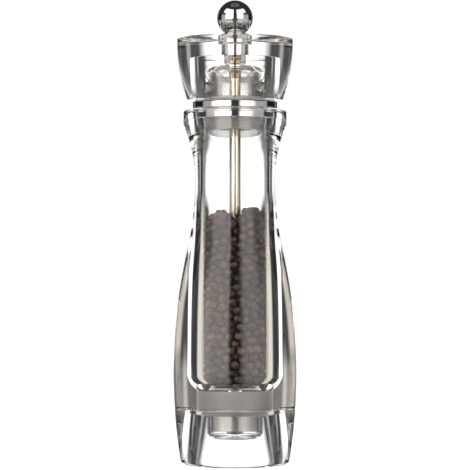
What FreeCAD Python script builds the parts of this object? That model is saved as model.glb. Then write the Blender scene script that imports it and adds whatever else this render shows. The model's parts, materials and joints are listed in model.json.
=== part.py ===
import FreeCAD, Part
import math
import os
import Sketcher

# A clear acrylic pepper mill, turned about Z.  Millimetres, +Z up.
# The origin is the centre of the flat foot, on the table.
# Every outline is drawn once in the XZ plane as (radius, height) corners and revolved.

OUT_DIR = "parts"

# alias: (value, what it is)
SIZES = {
    # clear body
    "body_top_z": (175.2, "top of the body"),
    "bulge_r": (30.8, "largest radius of the body"),
    "bulge_z": (46.0, "height of the largest radius"),
    "bulge_arc": (268.0, "radius of the lower, convex side arc"),
    "parting_z": (28.0, "underside of the body, where the foot meets it"),
    "parting_gap": (0.05, "hairline gap between the foot and the body"),
    "foot_fillet": (2.0, "rounding of the foot edge"),
    "waist_r": (20.1, "radius of the waist"),
    "waist_z": (140.0, "height of the waist"),
    "flare_arc": (72.7, "radius of the concave arc under the rim"),
    "rim_r": (25.8, "radius of the rim"),
    "rim_fillet": (1.0, "rounding of the rim"),
    "recess_mouth_r": (20.1, "radius of the recess in the foot, at the table"),
    "recess_roof_r": (16.6, "radius of that recess under the body"),
    "socket_r": (12.7, "radius of the socket that holds the grinder"),
    "socket_top_z": (37.0, "top of the socket"),
    "chamber_r": (16.1, "radius of the pepper chamber"),
    "chamber_floor_z": (44.0, "height where the chamber reaches its full radius"),
    "funnel_arc": (10.0, "radius of the rounded chamber floor"),
    "neck_bore_r": (16.4, "radius of the counterbore for the neck ring"),
    "neck_bore_z": (171.7, "floor of that counterbore"),
    "fit_gap": (0.05, "gap round a piece that is pressed or bonded into the acrylic"),
    # neck ring and washer
    "ring_r": (21.3, "radius of the neck ring flange"),
    "ring_z": (175.9, "underside of the flange"),
    "ring_top_z": (179.5, "top of the flange"),
    "ring_bore_r": (14.6, "bore of the neck ring"),
    "ring_edge": (0.6, "rounding of the flange edges"),
    "glide_r": (19.6, "radius of the glide washer"),
    "glide_gap": (0.1, "running gap above and below the glide washer"),
    "glide_z": (0.5, "thickness of the glide washer"),
    "glide_bore_r": (15.0, "bore of the glide washer"),
    # head
    "head_foot_z": (180.2, "underside of the head"),
    "head_foot_r": (23.8, "radius of the underside"),
    "head_r": (29.0, "largest radius of the head"),
    "head_wide_z": (208.5, "height of the largest radius"),
    "head_arc": (79.0, "radius of the flared side"),
    "head_top_z": (211.0, "top of the head"),
    "head_fillet": (1.0, "rounding of the top edge"),
    "head_cavity_r": (15.3, "radius of the cavity under the head"),
    "head_cavity_z": (202.0, "roof of that cavity"),
    "bush_r": (4.7, "radius of the bore for the drive bush"),
    "knob_seat_r": (5.8, "radius of the counterbore under the knob"),
    "knob_seat_z": (207.5, "floor of that counterbore"),
    # insert in the head, and the sleeve that centres the head in the neck
    "insert_bore_r": (10.7, "bore of the head insert"),
    "insert_roof_z": (199.0, "height where the insert closes in"),
    "insert_dome": (4.0, "height of the insert's domed end"),
    "sleeve_r": (14.52, "radius of the centring sleeve"),
    "sleeve_bore_r": (13.0, "bore of the centring sleeve"),
    "sleeve_foot_z": (167.0, "bottom of the sleeve"),
    "sleeve_lip_z": (181.0, "underside of the sleeve's lip, in the head"),
    "sleeve_top_z": (182.6, "top of the sleeve, where the insert starts"),
    # knob
    "ball_r": (9.0, "radius of the ball"),
    "ball_z": (221.0, "height of the ball's centre"),
    "knob_neck_r": (5.6, "radius of the knob's neck"),
    "knob_foot_z": (208.2, "bottom of the neck, in the counterbore"),
    "thread_bush_r": (3.3, "radius of the threaded bush in the knob"),
    "thread_bush_top_z": (219.5, "top of the threaded bush"),
    "friction_z": (0.6, "thickness of the friction washer"),
    # shaft
    "shaft_r": (2.85, "radius of the shaft"),
    "shaft_top_z": (194.0, "height where the round shaft ends"),
    "square_side": (3.8, "side of the square ends"),
    "square_gap": (0.06, "clearance of a square on each of its flats"),
    "square_top_z": (207.6, "top of the upper square"),
    "square_low_z": (30.04, "top of the lower square, just clear of the burr"),
    "stud_r": (1.9, "radius of both threaded ends"),
    "stud_top_z": (217.0, "tip of the shaft"),
    "shaft_low_z": (15.2, "bottom of the shaft"),
    "stud_chamfer": (0.4, "chamfer on both threaded ends"),
    "pilot_r": (1.5, "radius of the round hole that a square is opened from"),
    "running_gap": (0.08, "radial running clearance"),
    "collar_r": (3.2, "radius of the shaft collar"),
    "collar_top_z": (201.0, "top of the shaft collar"),
    "collar_room": (0.6, "gap between that collar and the head insert"),
    # grinder
    "flange_r": (15.2, "radius of the housing flange"),
    "flange_z": (25.4, "underside of the housing flange"),
    "housing_wall": (1.8, "wall of the housing"),
    "bridge_z": (34.6, "underside of the bridge"),
    "bridge_top_z": (36.6, "top of the bridge"),
    "bridge_hub_r": (4.8, "radius of the bridge hub"),
    "bridge_rim": (1.6, "width of the bridge rim"),
    "bridge_arm": (2.6, "width of a bridge arm"),
    "bridge_arm_turn": (30.0, "direction of the first bridge arm, in degrees"),
    "burr_ring_r": (11.8, "radius of the fixed burr below the flange"),
    "burr_ring_z": (18.2, "bottom of the fixed burr"),
    "burr_ring_top_z": (31.6, "top of the fixed burr"),
    "burr_mouth_r": (6.3, "bore of the fixed burr at its top"),
    "burr_exit_r": (8.2, "bore of the fixed burr at its bottom"),
    "burr_funnel": (2.5, "funnel at the top of the fixed burr"),
    "burr_gap": (0.35, "grinding gap between the burrs"),
    "burr_low_z": (19.0, "bottom of the rotating burr"),
    "burr_top_z": (30.0, "top of the rotating burr"),
    "burr_crown": (4.0, "height of the rotating burr's tapered crown"),
    "burr_crown_r": (4.2, "radius of the crown's flat top"),
    "tooth_depth": (0.7, "depth of the burr teeth"),
    "fixed_tooth_count": (18, "teeth of the fixed burr"),
    "fixed_tooth_half": (0.9, "half the width of a notch in the fixed burr"),
    "fixed_tooth_reach": (0.4, "how far that notch reaches into the bore"),
    "cone_tooth_count": (14, "teeth of the rotating burr"),
    "cone_tooth_half": (0.8, "half the width of a notch in the rotating burr"),
    "cone_tooth_reach": (0.6, "how far that notch reaches past the cone"),
    "cutter_reach": (1.0, "how far a cutter runs past the metal"),
    "washer_z": (0.6, "thickness of the thrust washer"),
    "washer_r": (4.6, "radius of the thrust washer"),
    "spring_r": (3.75, "mean radius of the spring"),
    "spring_wire_r": (0.35, "radius of the spring wire"),
    "spring_turns": (3, "turns of the spring"),
    "spring_facets": (16, "flats round the spring wire"),
    "nut_flats": (7.0, "width across the nut's flats"),
    "nut_z": (2.2, "height of the nut"),
    "plain_washer_r": (5.0, "radius of the washer under the rotating burr"),
    "plain_washer_z": (0.7, "thickness of that washer"),
    "outlet_r": (13.9, "radius of the outlet collar"),
    "outlet_wall": (1.4, "wall of the outlet collar"),
    "outlet_low_z": (15.0, "bottom of the outlet collar"),
    "outlet_lip": (3.8, "corner radius of the outlet collar"),
    # pepper
    "pepper_r": (15.8, "radius of the pepper column"),
    "pepper_low_z": (37.6, "bottom of the pepper"),
    "pepper_foot_r": (12.3, "radius of the pepper at its bottom"),
    "pepper_step_z": (43.6, "height where the pepper reaches its full radius"),
    "pepper_top_z": (124.0, "level of the pepper"),
    "pepper_gap": (0.7, "gap between the pepper and the shaft"),
}

ARM_COUNT = 3
FULL_TURN = 360
# two edges closer than this are the same one, and a cut smaller than this is none
SAME_EDGE = 0.02
LEAST_CUT = 0.01

doc = FreeCAD.newDocument("pepper_mill")
sheet = doc.addObject("Spreadsheet::Sheet", "sizes")
for row, (alias, (number, note)) in enumerate(SIZES.items(), start=1):
    sheet.set(f"A{row}", note)
    sheet.set(f"B{row}", str(number))
    sheet.setAlias(f"B{row}", alias)
doc.recompute()

nodes = []


def size(expression):
    """The number that a sheet expression gives now."""
    return float(sheet.evalExpression(expression))


def bound(expression):
    """The same expression, with each alias written as a cell of the sheet."""
    for alias in sorted(SIZES, key=len, reverse=True):
        expression = _swap_word(expression, alias)
    return expression


def _swap_word(text, alias):
    """Prefix whole-word uses of an alias with the sheet's name."""
    result = ""
    start = 0
    while True:
        place = text.find(alias, start)
        if place < 0:
            return result + text[start:]
        end = place + len(alias)
        before = text[place - 1] if place else " "
        after = text[end] if end < len(text) else " "
        whole = not (before.isalnum() or before in "_.") and not (after.isalnum() or after == "_")
        result += text[start:place] + ("sizes." + alias if whole else alias)
        start = end


def new_body(name):
    body = doc.addObject("PartDesign::Body", name)
    body.Label = name
    nodes.append(body)
    return body


def new_sketch(body, name, plane="XZ_Plane", height=None):
    """A sketch on one of the body's own origin planes, raised to a height if one is given."""
    sketch = body.newObject("Sketcher::SketchObject", name)
    role = [part for part in body.Origin.OriginFeatures if part.Role == plane][0]
    sketch.AttachmentSupport = [(role, "")]
    sketch.MapMode = "FlatFace"
    if height is not None:
        sketch.setExpression(".AttachmentOffset.Base.z", bound(height))
    return sketch


def pin_point(sketch, edge, end, across, along):
    """Fix one end of an edge at (across, along), each a sheet expression."""
    if across == "0":
        sketch.addConstraint(Sketcher.Constraint("PointOnObject", edge, end, -2))
    else:
        number = sketch.addConstraint(
            Sketcher.Constraint("DistanceX", -1, 1, edge, end, size(across)))
        sketch.setExpression(f"Constraints[{number}]", bound(across))
    if along == "0":
        sketch.addConstraint(Sketcher.Constraint("PointOnObject", edge, end, -1))
    else:
        number = sketch.addConstraint(
            Sketcher.Constraint("DistanceY", -1, 1, edge, end, size(along)))
        sketch.setExpression(f"Constraints[{number}]", bound(along))


def arc_through(start, end, radius, side):
    """An arc from start to end.  Side +1 puts its centre to the left of the way, -1 to the right."""
    chord = end - start
    middle = (start + end) * 0.5
    rise = math.sqrt(max(radius ** 2 - (chord.Length / 2) ** 2, 0.0))
    normal = FreeCAD.Vector(-chord.y, chord.x, 0).normalize()
    centre = middle + normal * rise * side
    first, last = (start, end) if side > 0 else (end, start)
    angles = [math.atan2((point - centre).y, (point - centre).x) for point in (first, last)]
    circle = Part.Circle(centre, FreeCAD.Vector(0, 0, 1), radius)
    return Part.ArcOfCircle(circle, angles[0], angles[1])


def outline(sketch, corners):
    """A closed outline.  A corner is (radius, height), and (radius, height, arc radius, side)
    when an arc runs from it to the next corner."""
    points = [FreeCAD.Vector(size(corner[0]), size(corner[1]), 0) for corner in corners]
    ends = []
    for index, corner in enumerate(corners):
        start = points[index]
        end = points[(index + 1) % len(points)]
        if len(corner) == 2:
            edge = sketch.addGeometry(Part.LineSegment(start, end), False)
            ends.append((edge, 1, 2))
        else:
            side = corner[3]
            edge = sketch.addGeometry(arc_through(start, end, size(corner[2]), side), False)
            number = sketch.addConstraint(Sketcher.Constraint("Radius", edge, size(corner[2])))
            sketch.setExpression(f"Constraints[{number}]", bound(corner[2]))
            ends.append((edge, 1, 2) if side > 0 else (edge, 2, 1))
    for index, corner in enumerate(corners):
        edge, first, _ = ends[index]
        before, _, last = ends[index - 1]
        sketch.addConstraint(Sketcher.Constraint("Coincident", before, last, edge, first))
        pin_point(sketch, edge, first, corner[0], corner[1])


def turn(body, sketch, kind="PartDesign::Revolution"):
    """Revolve a sketch a full turn about the vertical axis, or groove it away."""
    feature = body.newObject(kind, sketch.Name + "_turned")
    feature.Profile = sketch
    feature.ReferenceAxis = (sketch, ["V_Axis"])
    feature.Angle = FULL_TURN
    sketch.Visibility = False
    doc.recompute()
    return feature


def turned(name, corners):
    """A body whose whole shape is one revolved outline."""
    body = new_body(name)
    sketch = new_sketch(body, name + "_outline")
    outline(sketch, corners)
    turn(body, sketch)
    return body


def tube_corners(inner, outer, low, high):
    return [(inner, low), (outer, low), (outer, high), (inner, high)]


def must_shrink(body, before, what):
    """A cut that points away from the solid removes nothing, so the volume is compared."""
    doc.recompute()
    if body.Shape.Volume > before - LEAST_CUT:
        raise RuntimeError(f"{what} removed nothing from {body.Label}")


def round_edges(body, name, radius, wanted):
    """Fillet the circular edges whose (radius, height) are in the wanted list."""
    edges = []
    for number, edge in enumerate(body.Shape.Edges, start=1):
        if not isinstance(edge.Curve, Part.Circle):
            continue
        for ring_r, ring_z in wanted:
            same_r = abs(edge.Curve.Radius - ring_r) < SAME_EDGE
            if same_r and abs(edge.Curve.Center.z - ring_z) < SAME_EDGE:
                edges.append(f"Edge{number}")
    base = body.Tip
    fillet = body.newObject("PartDesign::Fillet", name)
    fillet.Base = (base, edges)
    fillet.setExpression("Radius", bound(radius))
    body.Tip = fillet
    doc.recompute()


def square_hole(body, name, side):
    """A square hole on the axis, through everything."""
    sketch = new_sketch(body, name, "XY_Plane")
    half = f"({side}) / 2"
    reach = size(half)
    points = [FreeCAD.Vector(x * reach, y * reach, 0) for x, y in ((-1, -1), (1, -1), (1, 1), (-1, 1))]
    for index in range(4):
        sketch.addGeometry(Part.LineSegment(points[index], points[(index + 1) % 4]), False)
    for index in range(4):
        sketch.addConstraint(Sketcher.Constraint("Coincident", index, 2, (index + 1) % 4, 1))
    for edge, kind in enumerate(("Horizontal", "Vertical", "Horizontal", "Vertical")):
        sketch.addConstraint(Sketcher.Constraint(kind, edge))
    sketch.addConstraint(Sketcher.Constraint("Symmetric", 0, 1, 2, 1, -1, 1))
    for edge, kind in ((0, "DistanceX"), (1, "DistanceY")):
        number = sketch.addConstraint(Sketcher.Constraint(kind, edge, 1, edge, 2, 2 * reach))
        sketch.setExpression(f"Constraints[{number}]", bound(side))
    before = body.Shape.Volume
    pocket = body.newObject("PartDesign::Pocket", name + "_cut")
    pocket.Profile = sketch
    pocket.Type = "ThroughAll"
    pocket.Midplane = True
    must_shrink(body, before, name)


def notch_ring(body, name, inner, outer, half_width, count, low, high):
    """Teeth: one V notch with its point inward or outward, cut along Z and repeated round the axis."""
    sketch = new_sketch(body, name, "XY_Plane", low)
    corners = [(inner, "0"), (outer, half_width), (outer, "-(" + half_width + ")")]
    points = [FreeCAD.Vector(size(across), size(along), 0) for across, along in corners]
    for index in range(3):
        sketch.addGeometry(Part.LineSegment(points[index], points[(index + 1) % 3]), False)
    for index in range(3):
        sketch.addConstraint(Sketcher.Constraint("Coincident", index, 2, (index + 1) % 3, 1))
    pin_point(sketch, 0, 1, inner, "0")
    pin_point(sketch, 1, 1, outer, half_width)
    sketch.addConstraint(Sketcher.Constraint("Symmetric", 1, 1, 1, 2, -1))
    before = body.Shape.Volume
    pocket = body.newObject("PartDesign::Pocket", name + "_cut")
    pocket.Profile = sketch
    pocket.setExpression("Length", bound(f"({high}) - ({low})"))
    pocket.Reversed = True
    must_shrink(body, before, name)
    pattern = body.newObject("PartDesign::PolarPattern", name + "_pattern")
    pattern.Originals = [pocket]
    axis = [part for part in body.Origin.OriginFeatures if part.Role == "Z_Axis"][0]
    pattern.Axis = (axis, [""])
    pattern.Angle = FULL_TURN
    pattern.setExpression("Occurrences", bound(count))
    body.Tip = pattern
    doc.recompute()


def side_radius(height):
    """Radius of the convex side at a height."""
    return f"bulge_r - bulge_arc + sqrt(bulge_arc^2 - (({height}) - bulge_z)^2)"


def clear_body():
    """The acrylic body: a long convex side, a waist, and a flare up to the rim."""
    body = new_body("body")
    sketch = new_sketch(body, "body_side")
    lower_centre = FreeCAD.Vector(size("bulge_r - bulge_arc"), size("bulge_z"), 0)
    reach_r = size("bulge_arc + waist_r - bulge_r")
    reach_z = size("waist_z - bulge_z")
    # the arc up to the waist touches the convex side, which sets its radius
    waist_arc = (reach_z ** 2 + reach_r ** 2 - size("bulge_arc") ** 2) / (2 * (size("bulge_arc") - reach_r))
    waist_centre = FreeCAD.Vector(size("waist_r") + waist_arc, size("waist_z"), 0)
    way = (waist_centre - lower_centre).normalize()
    turn_point = lower_centre + way * size("bulge_arc")
    flare_centre = FreeCAD.Vector(size("waist_r + flare_arc"), size("waist_z"), 0)
    rim_rise = math.sqrt(size("flare_arc") ** 2 - size("waist_r + flare_arc - rim_r") ** 2)
    foot = FreeCAD.Vector(size(side_radius("parting_z")), size("parting_z"), 0)
    rim_low = FreeCAD.Vector(size("rim_r"), size("waist_z") + rim_rise, 0)
    rim_top = FreeCAD.Vector(size("rim_r"), size("body_top_z"), 0)
    waist = FreeCAD.Vector(size("waist_r"), size("waist_z"), 0)
    centre_low = FreeCAD.Vector(0, size("parting_z"), 0)
    centre_top = FreeCAD.Vector(0, size("body_top_z"), 0)

    def arc(centre, radius, first, last):
        angles = [math.atan2((point - centre).y, (point - centre).x) % math.tau for point in (first, last)]
        if angles[0] > angles[1]:
            angles[0] -= math.tau
        return Part.ArcOfCircle(Part.Circle(centre, FreeCAD.Vector(0, 0, 1), radius), angles[0], angles[1])

    sketch.addGeometry(Part.LineSegment(centre_low, foot), False)
    sketch.addGeometry(arc(lower_centre, size("bulge_arc"), foot, turn_point), False)
    sketch.addGeometry(arc(waist_centre, waist_arc, waist, turn_point), False)
    sketch.addGeometry(arc(flare_centre, size("flare_arc"), rim_low, waist), False)
    sketch.addGeometry(Part.LineSegment(rim_low, rim_top), False)
    sketch.addGeometry(Part.LineSegment(rim_top, centre_top), False)
    sketch.addGeometry(Part.LineSegment(centre_top, centre_low), False)
    joins = [(0, 2, 1, 1), (3, 1, 4, 1), (4, 2, 5, 1), (5, 2, 6, 1), (6, 2, 0, 1)]
    for first, first_end, second, second_end in joins:
        sketch.addConstraint(Sketcher.Constraint("Coincident", first, first_end, second, second_end))
    sketch.addConstraint(Sketcher.Constraint("PointOnObject", 0, 1, -2))
    sketch.addConstraint(Sketcher.Constraint("PointOnObject", 5, 2, -2))
    sketch.addConstraint(Sketcher.Constraint("Horizontal", 0))
    sketch.addConstraint(Sketcher.Constraint("Vertical", 4))
    sketch.addConstraint(Sketcher.Constraint("Horizontal", 5))
    sketch.addConstraint(Sketcher.Constraint("Tangent", 1, 2, 2, 2))
    sketch.addConstraint(Sketcher.Constraint("Tangent", 2, 1, 3, 2))

    def datum(kind, expression, *where):
        number = sketch.addConstraint(Sketcher.Constraint(kind, *where, size(expression)))
        sketch.setExpression(f"Constraints[{number}]", bound(expression))

    datum("DistanceY", "parting_z", -1, 1, 0, 1)
    datum("Radius", "bulge_arc", 1)
    datum("DistanceX", "bulge_arc - bulge_r", 1, 3, -1, 1)
    datum("DistanceY", "bulge_z", -1, 1, 1, 3)
    datum("Radius", "flare_arc", 3)
    datum("DistanceX", "waist_r", -1, 1, 3, 2)
    datum("DistanceY", "waist_z", -1, 1, 3, 2)
    datum("DistanceY", "waist_z", -1, 1, 3, 3)
    datum("DistanceX", "rim_r", -1, 1, 4, 1)
    datum("DistanceY", "body_top_z", -1, 1, 4, 2)
    turn(body, sketch)
    hollow = new_sketch(body, "body_hollow")
    outline(hollow, [
        ("0", "parting_z"),
        ("socket_r", "parting_z"),
        ("socket_r", "socket_top_z", "funnel_arc", 1),
        ("chamber_r", "chamber_floor_z"),
        ("chamber_r", "neck_bore_z"),
        ("neck_bore_r", "neck_bore_z"),
        ("neck_bore_r", "body_top_z"),
        ("0", "body_top_z"),
    ])
    before = body.Shape.Volume
    turn(body, hollow, "PartDesign::Groove")
    must_shrink(body, before, "the hollow")
    round_edges(body, "rim_edge", "rim_fillet", [(size("rim_r"), size("body_top_z"))])


def foot():
    """The acrylic foot ring: it carries on the body's side and leaves the outlet free."""
    top = "parting_z - parting_gap"
    body = turned("foot", [
        ("recess_mouth_r", "0"),
        (side_radius("0"), "0", "bulge_arc", 1),
        (side_radius(top), top),
        ("recess_roof_r", top),
    ])
    round_edges(body, "foot_edge", "foot_fillet", [(size(side_radius("0")), 0.0)])


def neck_ring():
    """Chrome ring: a spigot down into the neck and a flange that stands on it."""
    body = turned("neck_ring", [
        ("ring_bore_r", "neck_bore_z"),
        ("neck_bore_r - fit_gap", "neck_bore_z"),
        ("neck_bore_r - fit_gap", "ring_z"),
        ("ring_r", "ring_z"),
        ("ring_r", "ring_top_z"),
        ("ring_bore_r", "ring_top_z"),
    ])
    flange_r = size("ring_r")
    round_edges(body, "flange_edges", "ring_edge", [(flange_r, size("ring_z")), (flange_r, size("ring_top_z"))])


def head():
    """The flared acrylic head, with a cavity under it and a stepped hole for bush and knob."""
    body = turned("head", [
        ("head_cavity_r", "head_foot_z"),
        ("head_foot_r", "head_foot_z", "head_arc", 1),
        ("head_r", "head_wide_z"),
        ("head_r", "head_top_z"),
        ("knob_seat_r", "head_top_z"),
        ("knob_seat_r", "knob_seat_z"),
        ("bush_r", "knob_seat_z"),
        ("bush_r", "head_cavity_z"),
        ("head_cavity_r", "head_cavity_z"),
    ])
    round_edges(body, "head_edge", "head_fillet", [(size("head_r"), size("head_top_z"))])


def head_insert():
    """Clear tube pressed into the head, with a domed end that leaves room for the shaft collar."""
    inside = "head_cavity_r - fit_gap"
    eye = "collar_r + collar_room"
    dome_arc = f"((insert_bore_r - ({eye}))^2 + insert_dome^2) / (2 * insert_dome)"
    turned("head_insert", [
        ("insert_bore_r", "sleeve_top_z"),
        (inside, "sleeve_top_z"),
        (inside, "head_cavity_z"),
        (eye, "head_cavity_z"),
        (eye, "insert_roof_z", dome_arc, -1),
        ("insert_bore_r", "insert_roof_z - insert_dome"),
    ])


def neck_sleeve():
    """Grey sleeve held in the head by its lip.  It turns in the neck ring and centres the head."""
    inside = "head_cavity_r - fit_gap"
    turned("neck_sleeve", [
        ("sleeve_bore_r", "sleeve_foot_z"),
        ("sleeve_r", "sleeve_foot_z"),
        ("sleeve_r", "sleeve_lip_z"),
        (inside, "sleeve_lip_z"),
        (inside, "sleeve_top_z"),
        ("sleeve_bore_r", "sleeve_top_z"),
    ])


def head_small_parts():
    """Square-holed drive bush in the head, and the friction washer under the knob."""
    bush = turned("drive_bush", tube_corners("pilot_r", "bush_r - fit_gap", "head_cavity_z", "knob_seat_z"))
    square_hole(bush, "bush_square", "square_side + 2 * square_gap")
    turned("friction_washer", tube_corners(
        "shaft_r + 2 * running_gap", "knob_seat_r - fit_gap", "knob_seat_z", "knob_seat_z + friction_z"))
    turned("glide_washer", tube_corners(
        "glide_bore_r", "glide_r", "ring_top_z + glide_gap", "ring_top_z + glide_gap + glide_z"))


def knob():
    """The ball knob on its short neck, and the threaded bush pressed into it."""
    neck_meets = "ball_z - sqrt(ball_r^2 - knob_neck_r^2)"
    turned("knob", [
        ("thread_bush_r", "knob_foot_z"),
        ("knob_neck_r", "knob_foot_z"),
        ("knob_neck_r", neck_meets, "ball_r", 1),
        ("0", "ball_z + ball_r"),
        ("0", "thread_bush_top_z"),
        ("thread_bush_r", "thread_bush_top_z"),
    ])
    turned("knob_bush", tube_corners("stud_r + running_gap", "thread_bush_r", "knob_foot_z", "thread_bush_top_z"))


def shaft():
    """Round steel shaft, squared at both ends and threaded beyond the squares."""
    body = turned("drive_shaft", [
        ("0", "shaft_low_z"),
        ("stud_r - stud_chamfer", "shaft_low_z"),
        ("stud_r", "shaft_low_z + stud_chamfer"),
        ("stud_r", "burr_low_z"),
        ("shaft_r", "burr_low_z"),
        ("shaft_r", "square_top_z"),
        ("stud_r", "square_top_z"),
        ("stud_r", "stud_top_z - stud_chamfer"),
        ("stud_r - stud_chamfer", "stud_top_z"),
        ("0", "stud_top_z"),
    ])
    flats(body, "upper_flats", "shaft_top_z", "square_top_z")
    flats(body, "lower_flats", "burr_low_z", "square_low_z")
    collar = turned("shaft_collar", tube_corners("pilot_r", "collar_r", "shaft_top_z", "collar_top_z"))
    square_hole(collar, "collar_square", "square_side")


def flats(body, name, low, high):
    """Mill four flats on the shaft between two heights."""
    sketch = new_sketch(body, name, "XY_Plane", low)
    inner = "square_side / 2"
    outer = "shaft_r + cutter_reach"
    points = [FreeCAD.Vector(size(inner), -size(outer), 0), FreeCAD.Vector(size(outer), -size(outer), 0),
              FreeCAD.Vector(size(outer), size(outer), 0), FreeCAD.Vector(size(inner), size(outer), 0)]
    for index in range(4):
        sketch.addGeometry(Part.LineSegment(points[index], points[(index + 1) % 4]), False)
    for index in range(4):
        sketch.addConstraint(Sketcher.Constraint("Coincident", index, 2, (index + 1) % 4, 1))
    for edge, kind in enumerate(("Horizontal", "Vertical", "Horizontal", "Vertical")):
        sketch.addConstraint(Sketcher.Constraint(kind, edge))
    pin_point(sketch, 2, 1, outer, outer)
    number = sketch.addConstraint(Sketcher.Constraint("DistanceX", -1, 1, 3, 1, size(inner)))
    sketch.setExpression(f"Constraints[{number}]", bound(inner))
    number = sketch.addConstraint(Sketcher.Constraint("DistanceY", 1, 1, 1, 2, 2 * size(outer)))
    sketch.setExpression(f"Constraints[{number}]", bound(f"2 * ({outer})"))
    before = body.Shape.Volume
    pocket = body.newObject("PartDesign::Pocket", name + "_cut")
    pocket.Profile = sketch
    pocket.setExpression("Length", bound(f"{high} - {low}"))
    pocket.Reversed = True
    must_shrink(body, before, name)
    pattern = body.newObject("PartDesign::PolarPattern", name + "_pattern")
    pattern.Originals = [pocket]
    axis = [part for part in body.Origin.OriginFeatures if part.Role == "Z_Axis"][0]
    pattern.Axis = (axis, [""])
    pattern.Angle = FULL_TURN
    pattern.Occurrences = 4
    body.Tip = pattern
    doc.recompute()


def grinder_housing():
    """Grey housing in the socket, with a flange under the roof and a bridge across its top."""
    inner = "socket_r - housing_wall"
    turned("grinder_housing", [
        (inner, "flange_z"),
        ("flange_r", "flange_z"),
        ("flange_r", "parting_z - parting_gap"),
        ("socket_r - fit_gap", "parting_z - parting_gap"),
        ("socket_r - fit_gap", "bridge_top_z"),
        (inner, "bridge_top_z"),
    ])
    rim = doc.addObject("Part::Cylinder", "bridge_rim_outer")
    rim.setExpression("Radius", bound(inner))
    rim.setExpression("Height", bound("bridge_top_z - bridge_z"))
    opening = doc.addObject("Part::Cylinder", "bridge_rim_inner")
    opening.setExpression("Radius", bound(f"{inner} - bridge_rim"))
    opening.setExpression("Height", bound("bridge_top_z - bridge_z"))
    hub = doc.addObject("Part::Cylinder", "bridge_hub")
    hub.setExpression("Radius", bound("bridge_hub_r"))
    hub.setExpression("Height", bound("bridge_top_z - bridge_z"))
    arms = []
    for number in range(ARM_COUNT):
        arm = doc.addObject("Part::Box", f"bridge_arm_{number}")
        arm.setExpression("Length", bound(f"{inner} - bridge_rim / 2"))
        arm.setExpression("Width", bound("bridge_arm"))
        arm.setExpression("Height", bound("bridge_top_z - bridge_z"))
        angle = size("bridge_arm_turn") + FULL_TURN / ARM_COUNT * number
        direction = FreeCAD.Rotation(FreeCAD.Vector(0, 0, 1), angle)
        corner = direction.multVec(FreeCAD.Vector(0, -size("bridge_arm") / 2, 0))
        arm.Placement = FreeCAD.Placement(corner, direction)
        arms.append(arm)
    bore = doc.addObject("Part::Cylinder", "bridge_bore")
    bore.setExpression("Radius", bound("shaft_r + running_gap"))
    bore.setExpression("Height", bound("bridge_top_z - bridge_z"))
    ring = doc.addObject("Part::Cut", "bridge_ring")
    ring.Base = rim
    ring.Tool = opening
    star = doc.addObject("Part::MultiFuse", "bridge_star")
    star.Shapes = [ring, hub] + arms
    bridge = doc.addObject("Part::Cut", "bridge")
    bridge.Base = star
    bridge.Tool = bore
    bridge.Label = "bridge"
    bridge.setExpression(".Placement.Base.z", bound("bridge_z"))
    nodes.append(bridge)


def burrs():
    """The fixed ring burr and the turning cone burr, both toothed."""
    fixed = turned("fixed_burr", [
        ("burr_exit_r", "burr_ring_z"),
        ("burr_ring_r", "burr_ring_z"),
        ("burr_ring_r", "flange_z"),
        ("socket_r - housing_wall", "flange_z"),
        ("socket_r - housing_wall", "burr_ring_top_z"),
        ("burr_mouth_r + burr_funnel", "burr_ring_top_z"),
        ("burr_mouth_r", "burr_ring_top_z - burr_funnel"),
    ])
    notch_ring(fixed, "fixed_teeth", "burr_exit_r + tooth_depth", "burr_mouth_r - fixed_tooth_reach",
               "fixed_tooth_half", "fixed_tooth_count", "burr_ring_z - cutter_reach",
               "burr_ring_top_z + cutter_reach")
    slope = "(burr_exit_r - burr_mouth_r) / (burr_ring_top_z - burr_funnel - burr_ring_z)"
    low_r = f"burr_exit_r - burr_gap - (burr_low_z - burr_ring_z) * {slope}"
    high_r = "burr_mouth_r - burr_gap"
    rotating = turned("rotating_burr", [
        ("0", "burr_low_z"),
        (low_r, "burr_low_z"),
        (high_r, "burr_top_z - burr_crown"),
        ("burr_crown_r", "burr_top_z"),
        ("0", "burr_top_z"),
    ])
    notch_ring(rotating, "rotating_teeth", f"{high_r} - tooth_depth", f"{low_r} + cone_tooth_reach",
               "cone_tooth_half", "cone_tooth_count", "burr_low_z - cutter_reach",
               "burr_top_z + cutter_reach")
    square_hole(rotating, "burr_square", "square_side + square_gap")


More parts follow.
